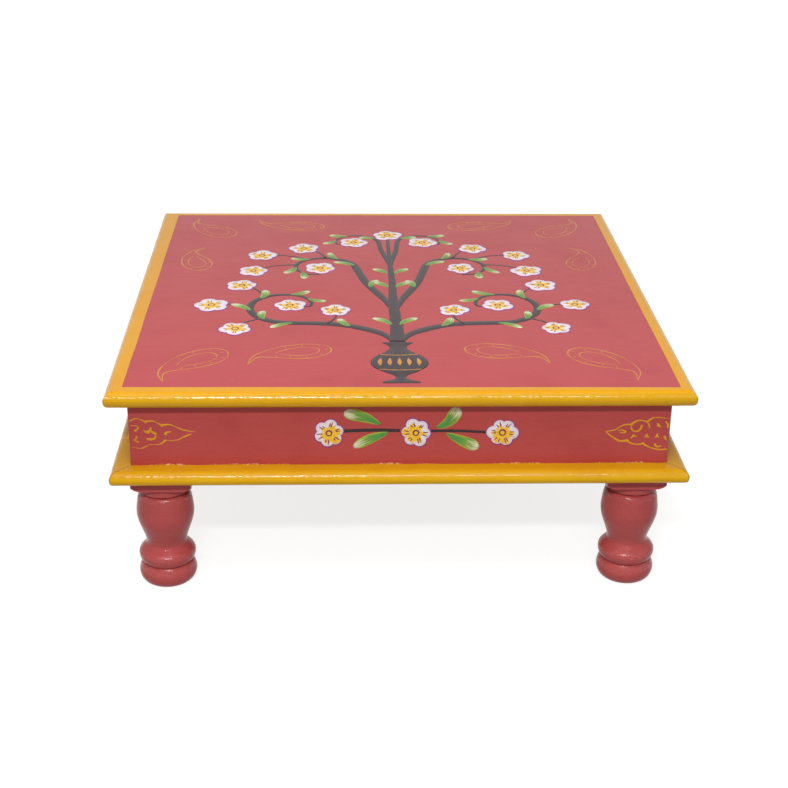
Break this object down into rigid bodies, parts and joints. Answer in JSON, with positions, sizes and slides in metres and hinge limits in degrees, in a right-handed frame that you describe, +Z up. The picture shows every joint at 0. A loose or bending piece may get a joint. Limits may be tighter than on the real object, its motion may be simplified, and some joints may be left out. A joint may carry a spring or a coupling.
{
  "type": "bajot low table",
  "caption": "Low square table of painted wood with a boxed apron, a mitred base frame and short turned legs; it holds a tray, a figure or offerings, or serves as a low seat.",
  "frame": {"origin": "on the floor, under the middle of the top", "axes": "+Z up; the front, with the painted sprig on its apron, faces -Y; +X to the right"},
  "size_m": [0.381, 0.381, 0.1524],
  "materials": {
    "top_paint": "gloss enamel paint, red field with a yellow border and painted flowers",
    "red_paint": "gloss enamel paint over solid wood",
    "yellow_paint": "gloss enamel paint over solid wood",
    "bare_wood": "sawn and planed, unpainted",
    "screw_steel": "zinc-plated"
  },
  "bodies": {
    "root": {"apron_back": "red_paint", "apron_front": "red_paint", "apron_left": "red_paint", "apron_right": "red_paint", "base_rail_back": "yellow_paint", "base_rail_front": "yellow_paint", "base_rail_left": "yellow_paint", "base_rail_right": "yellow_paint", "base_screws": "screw_steel", "cleat_pins": "screw_steel", "corner_block_back_left": "bare_wood", "corner_block_back_right": "bare_wood", "corner_block_front_left": "bare_wood", "corner_block_front_right": "bare_wood", "leg_back_left": "red_paint", "leg_back_right": "red_paint", "leg_front_left": "red_paint", "leg_front_right": "red_paint", "top_board": "top_paint", "top_cleat_back": "bare_wood", "top_cleat_front": "bare_wood", "top_cleat_left": "bare_wood", "top_cleat_right": "bare_wood", "top_screws": "screw_steel"}
  },
  "joints": []
}
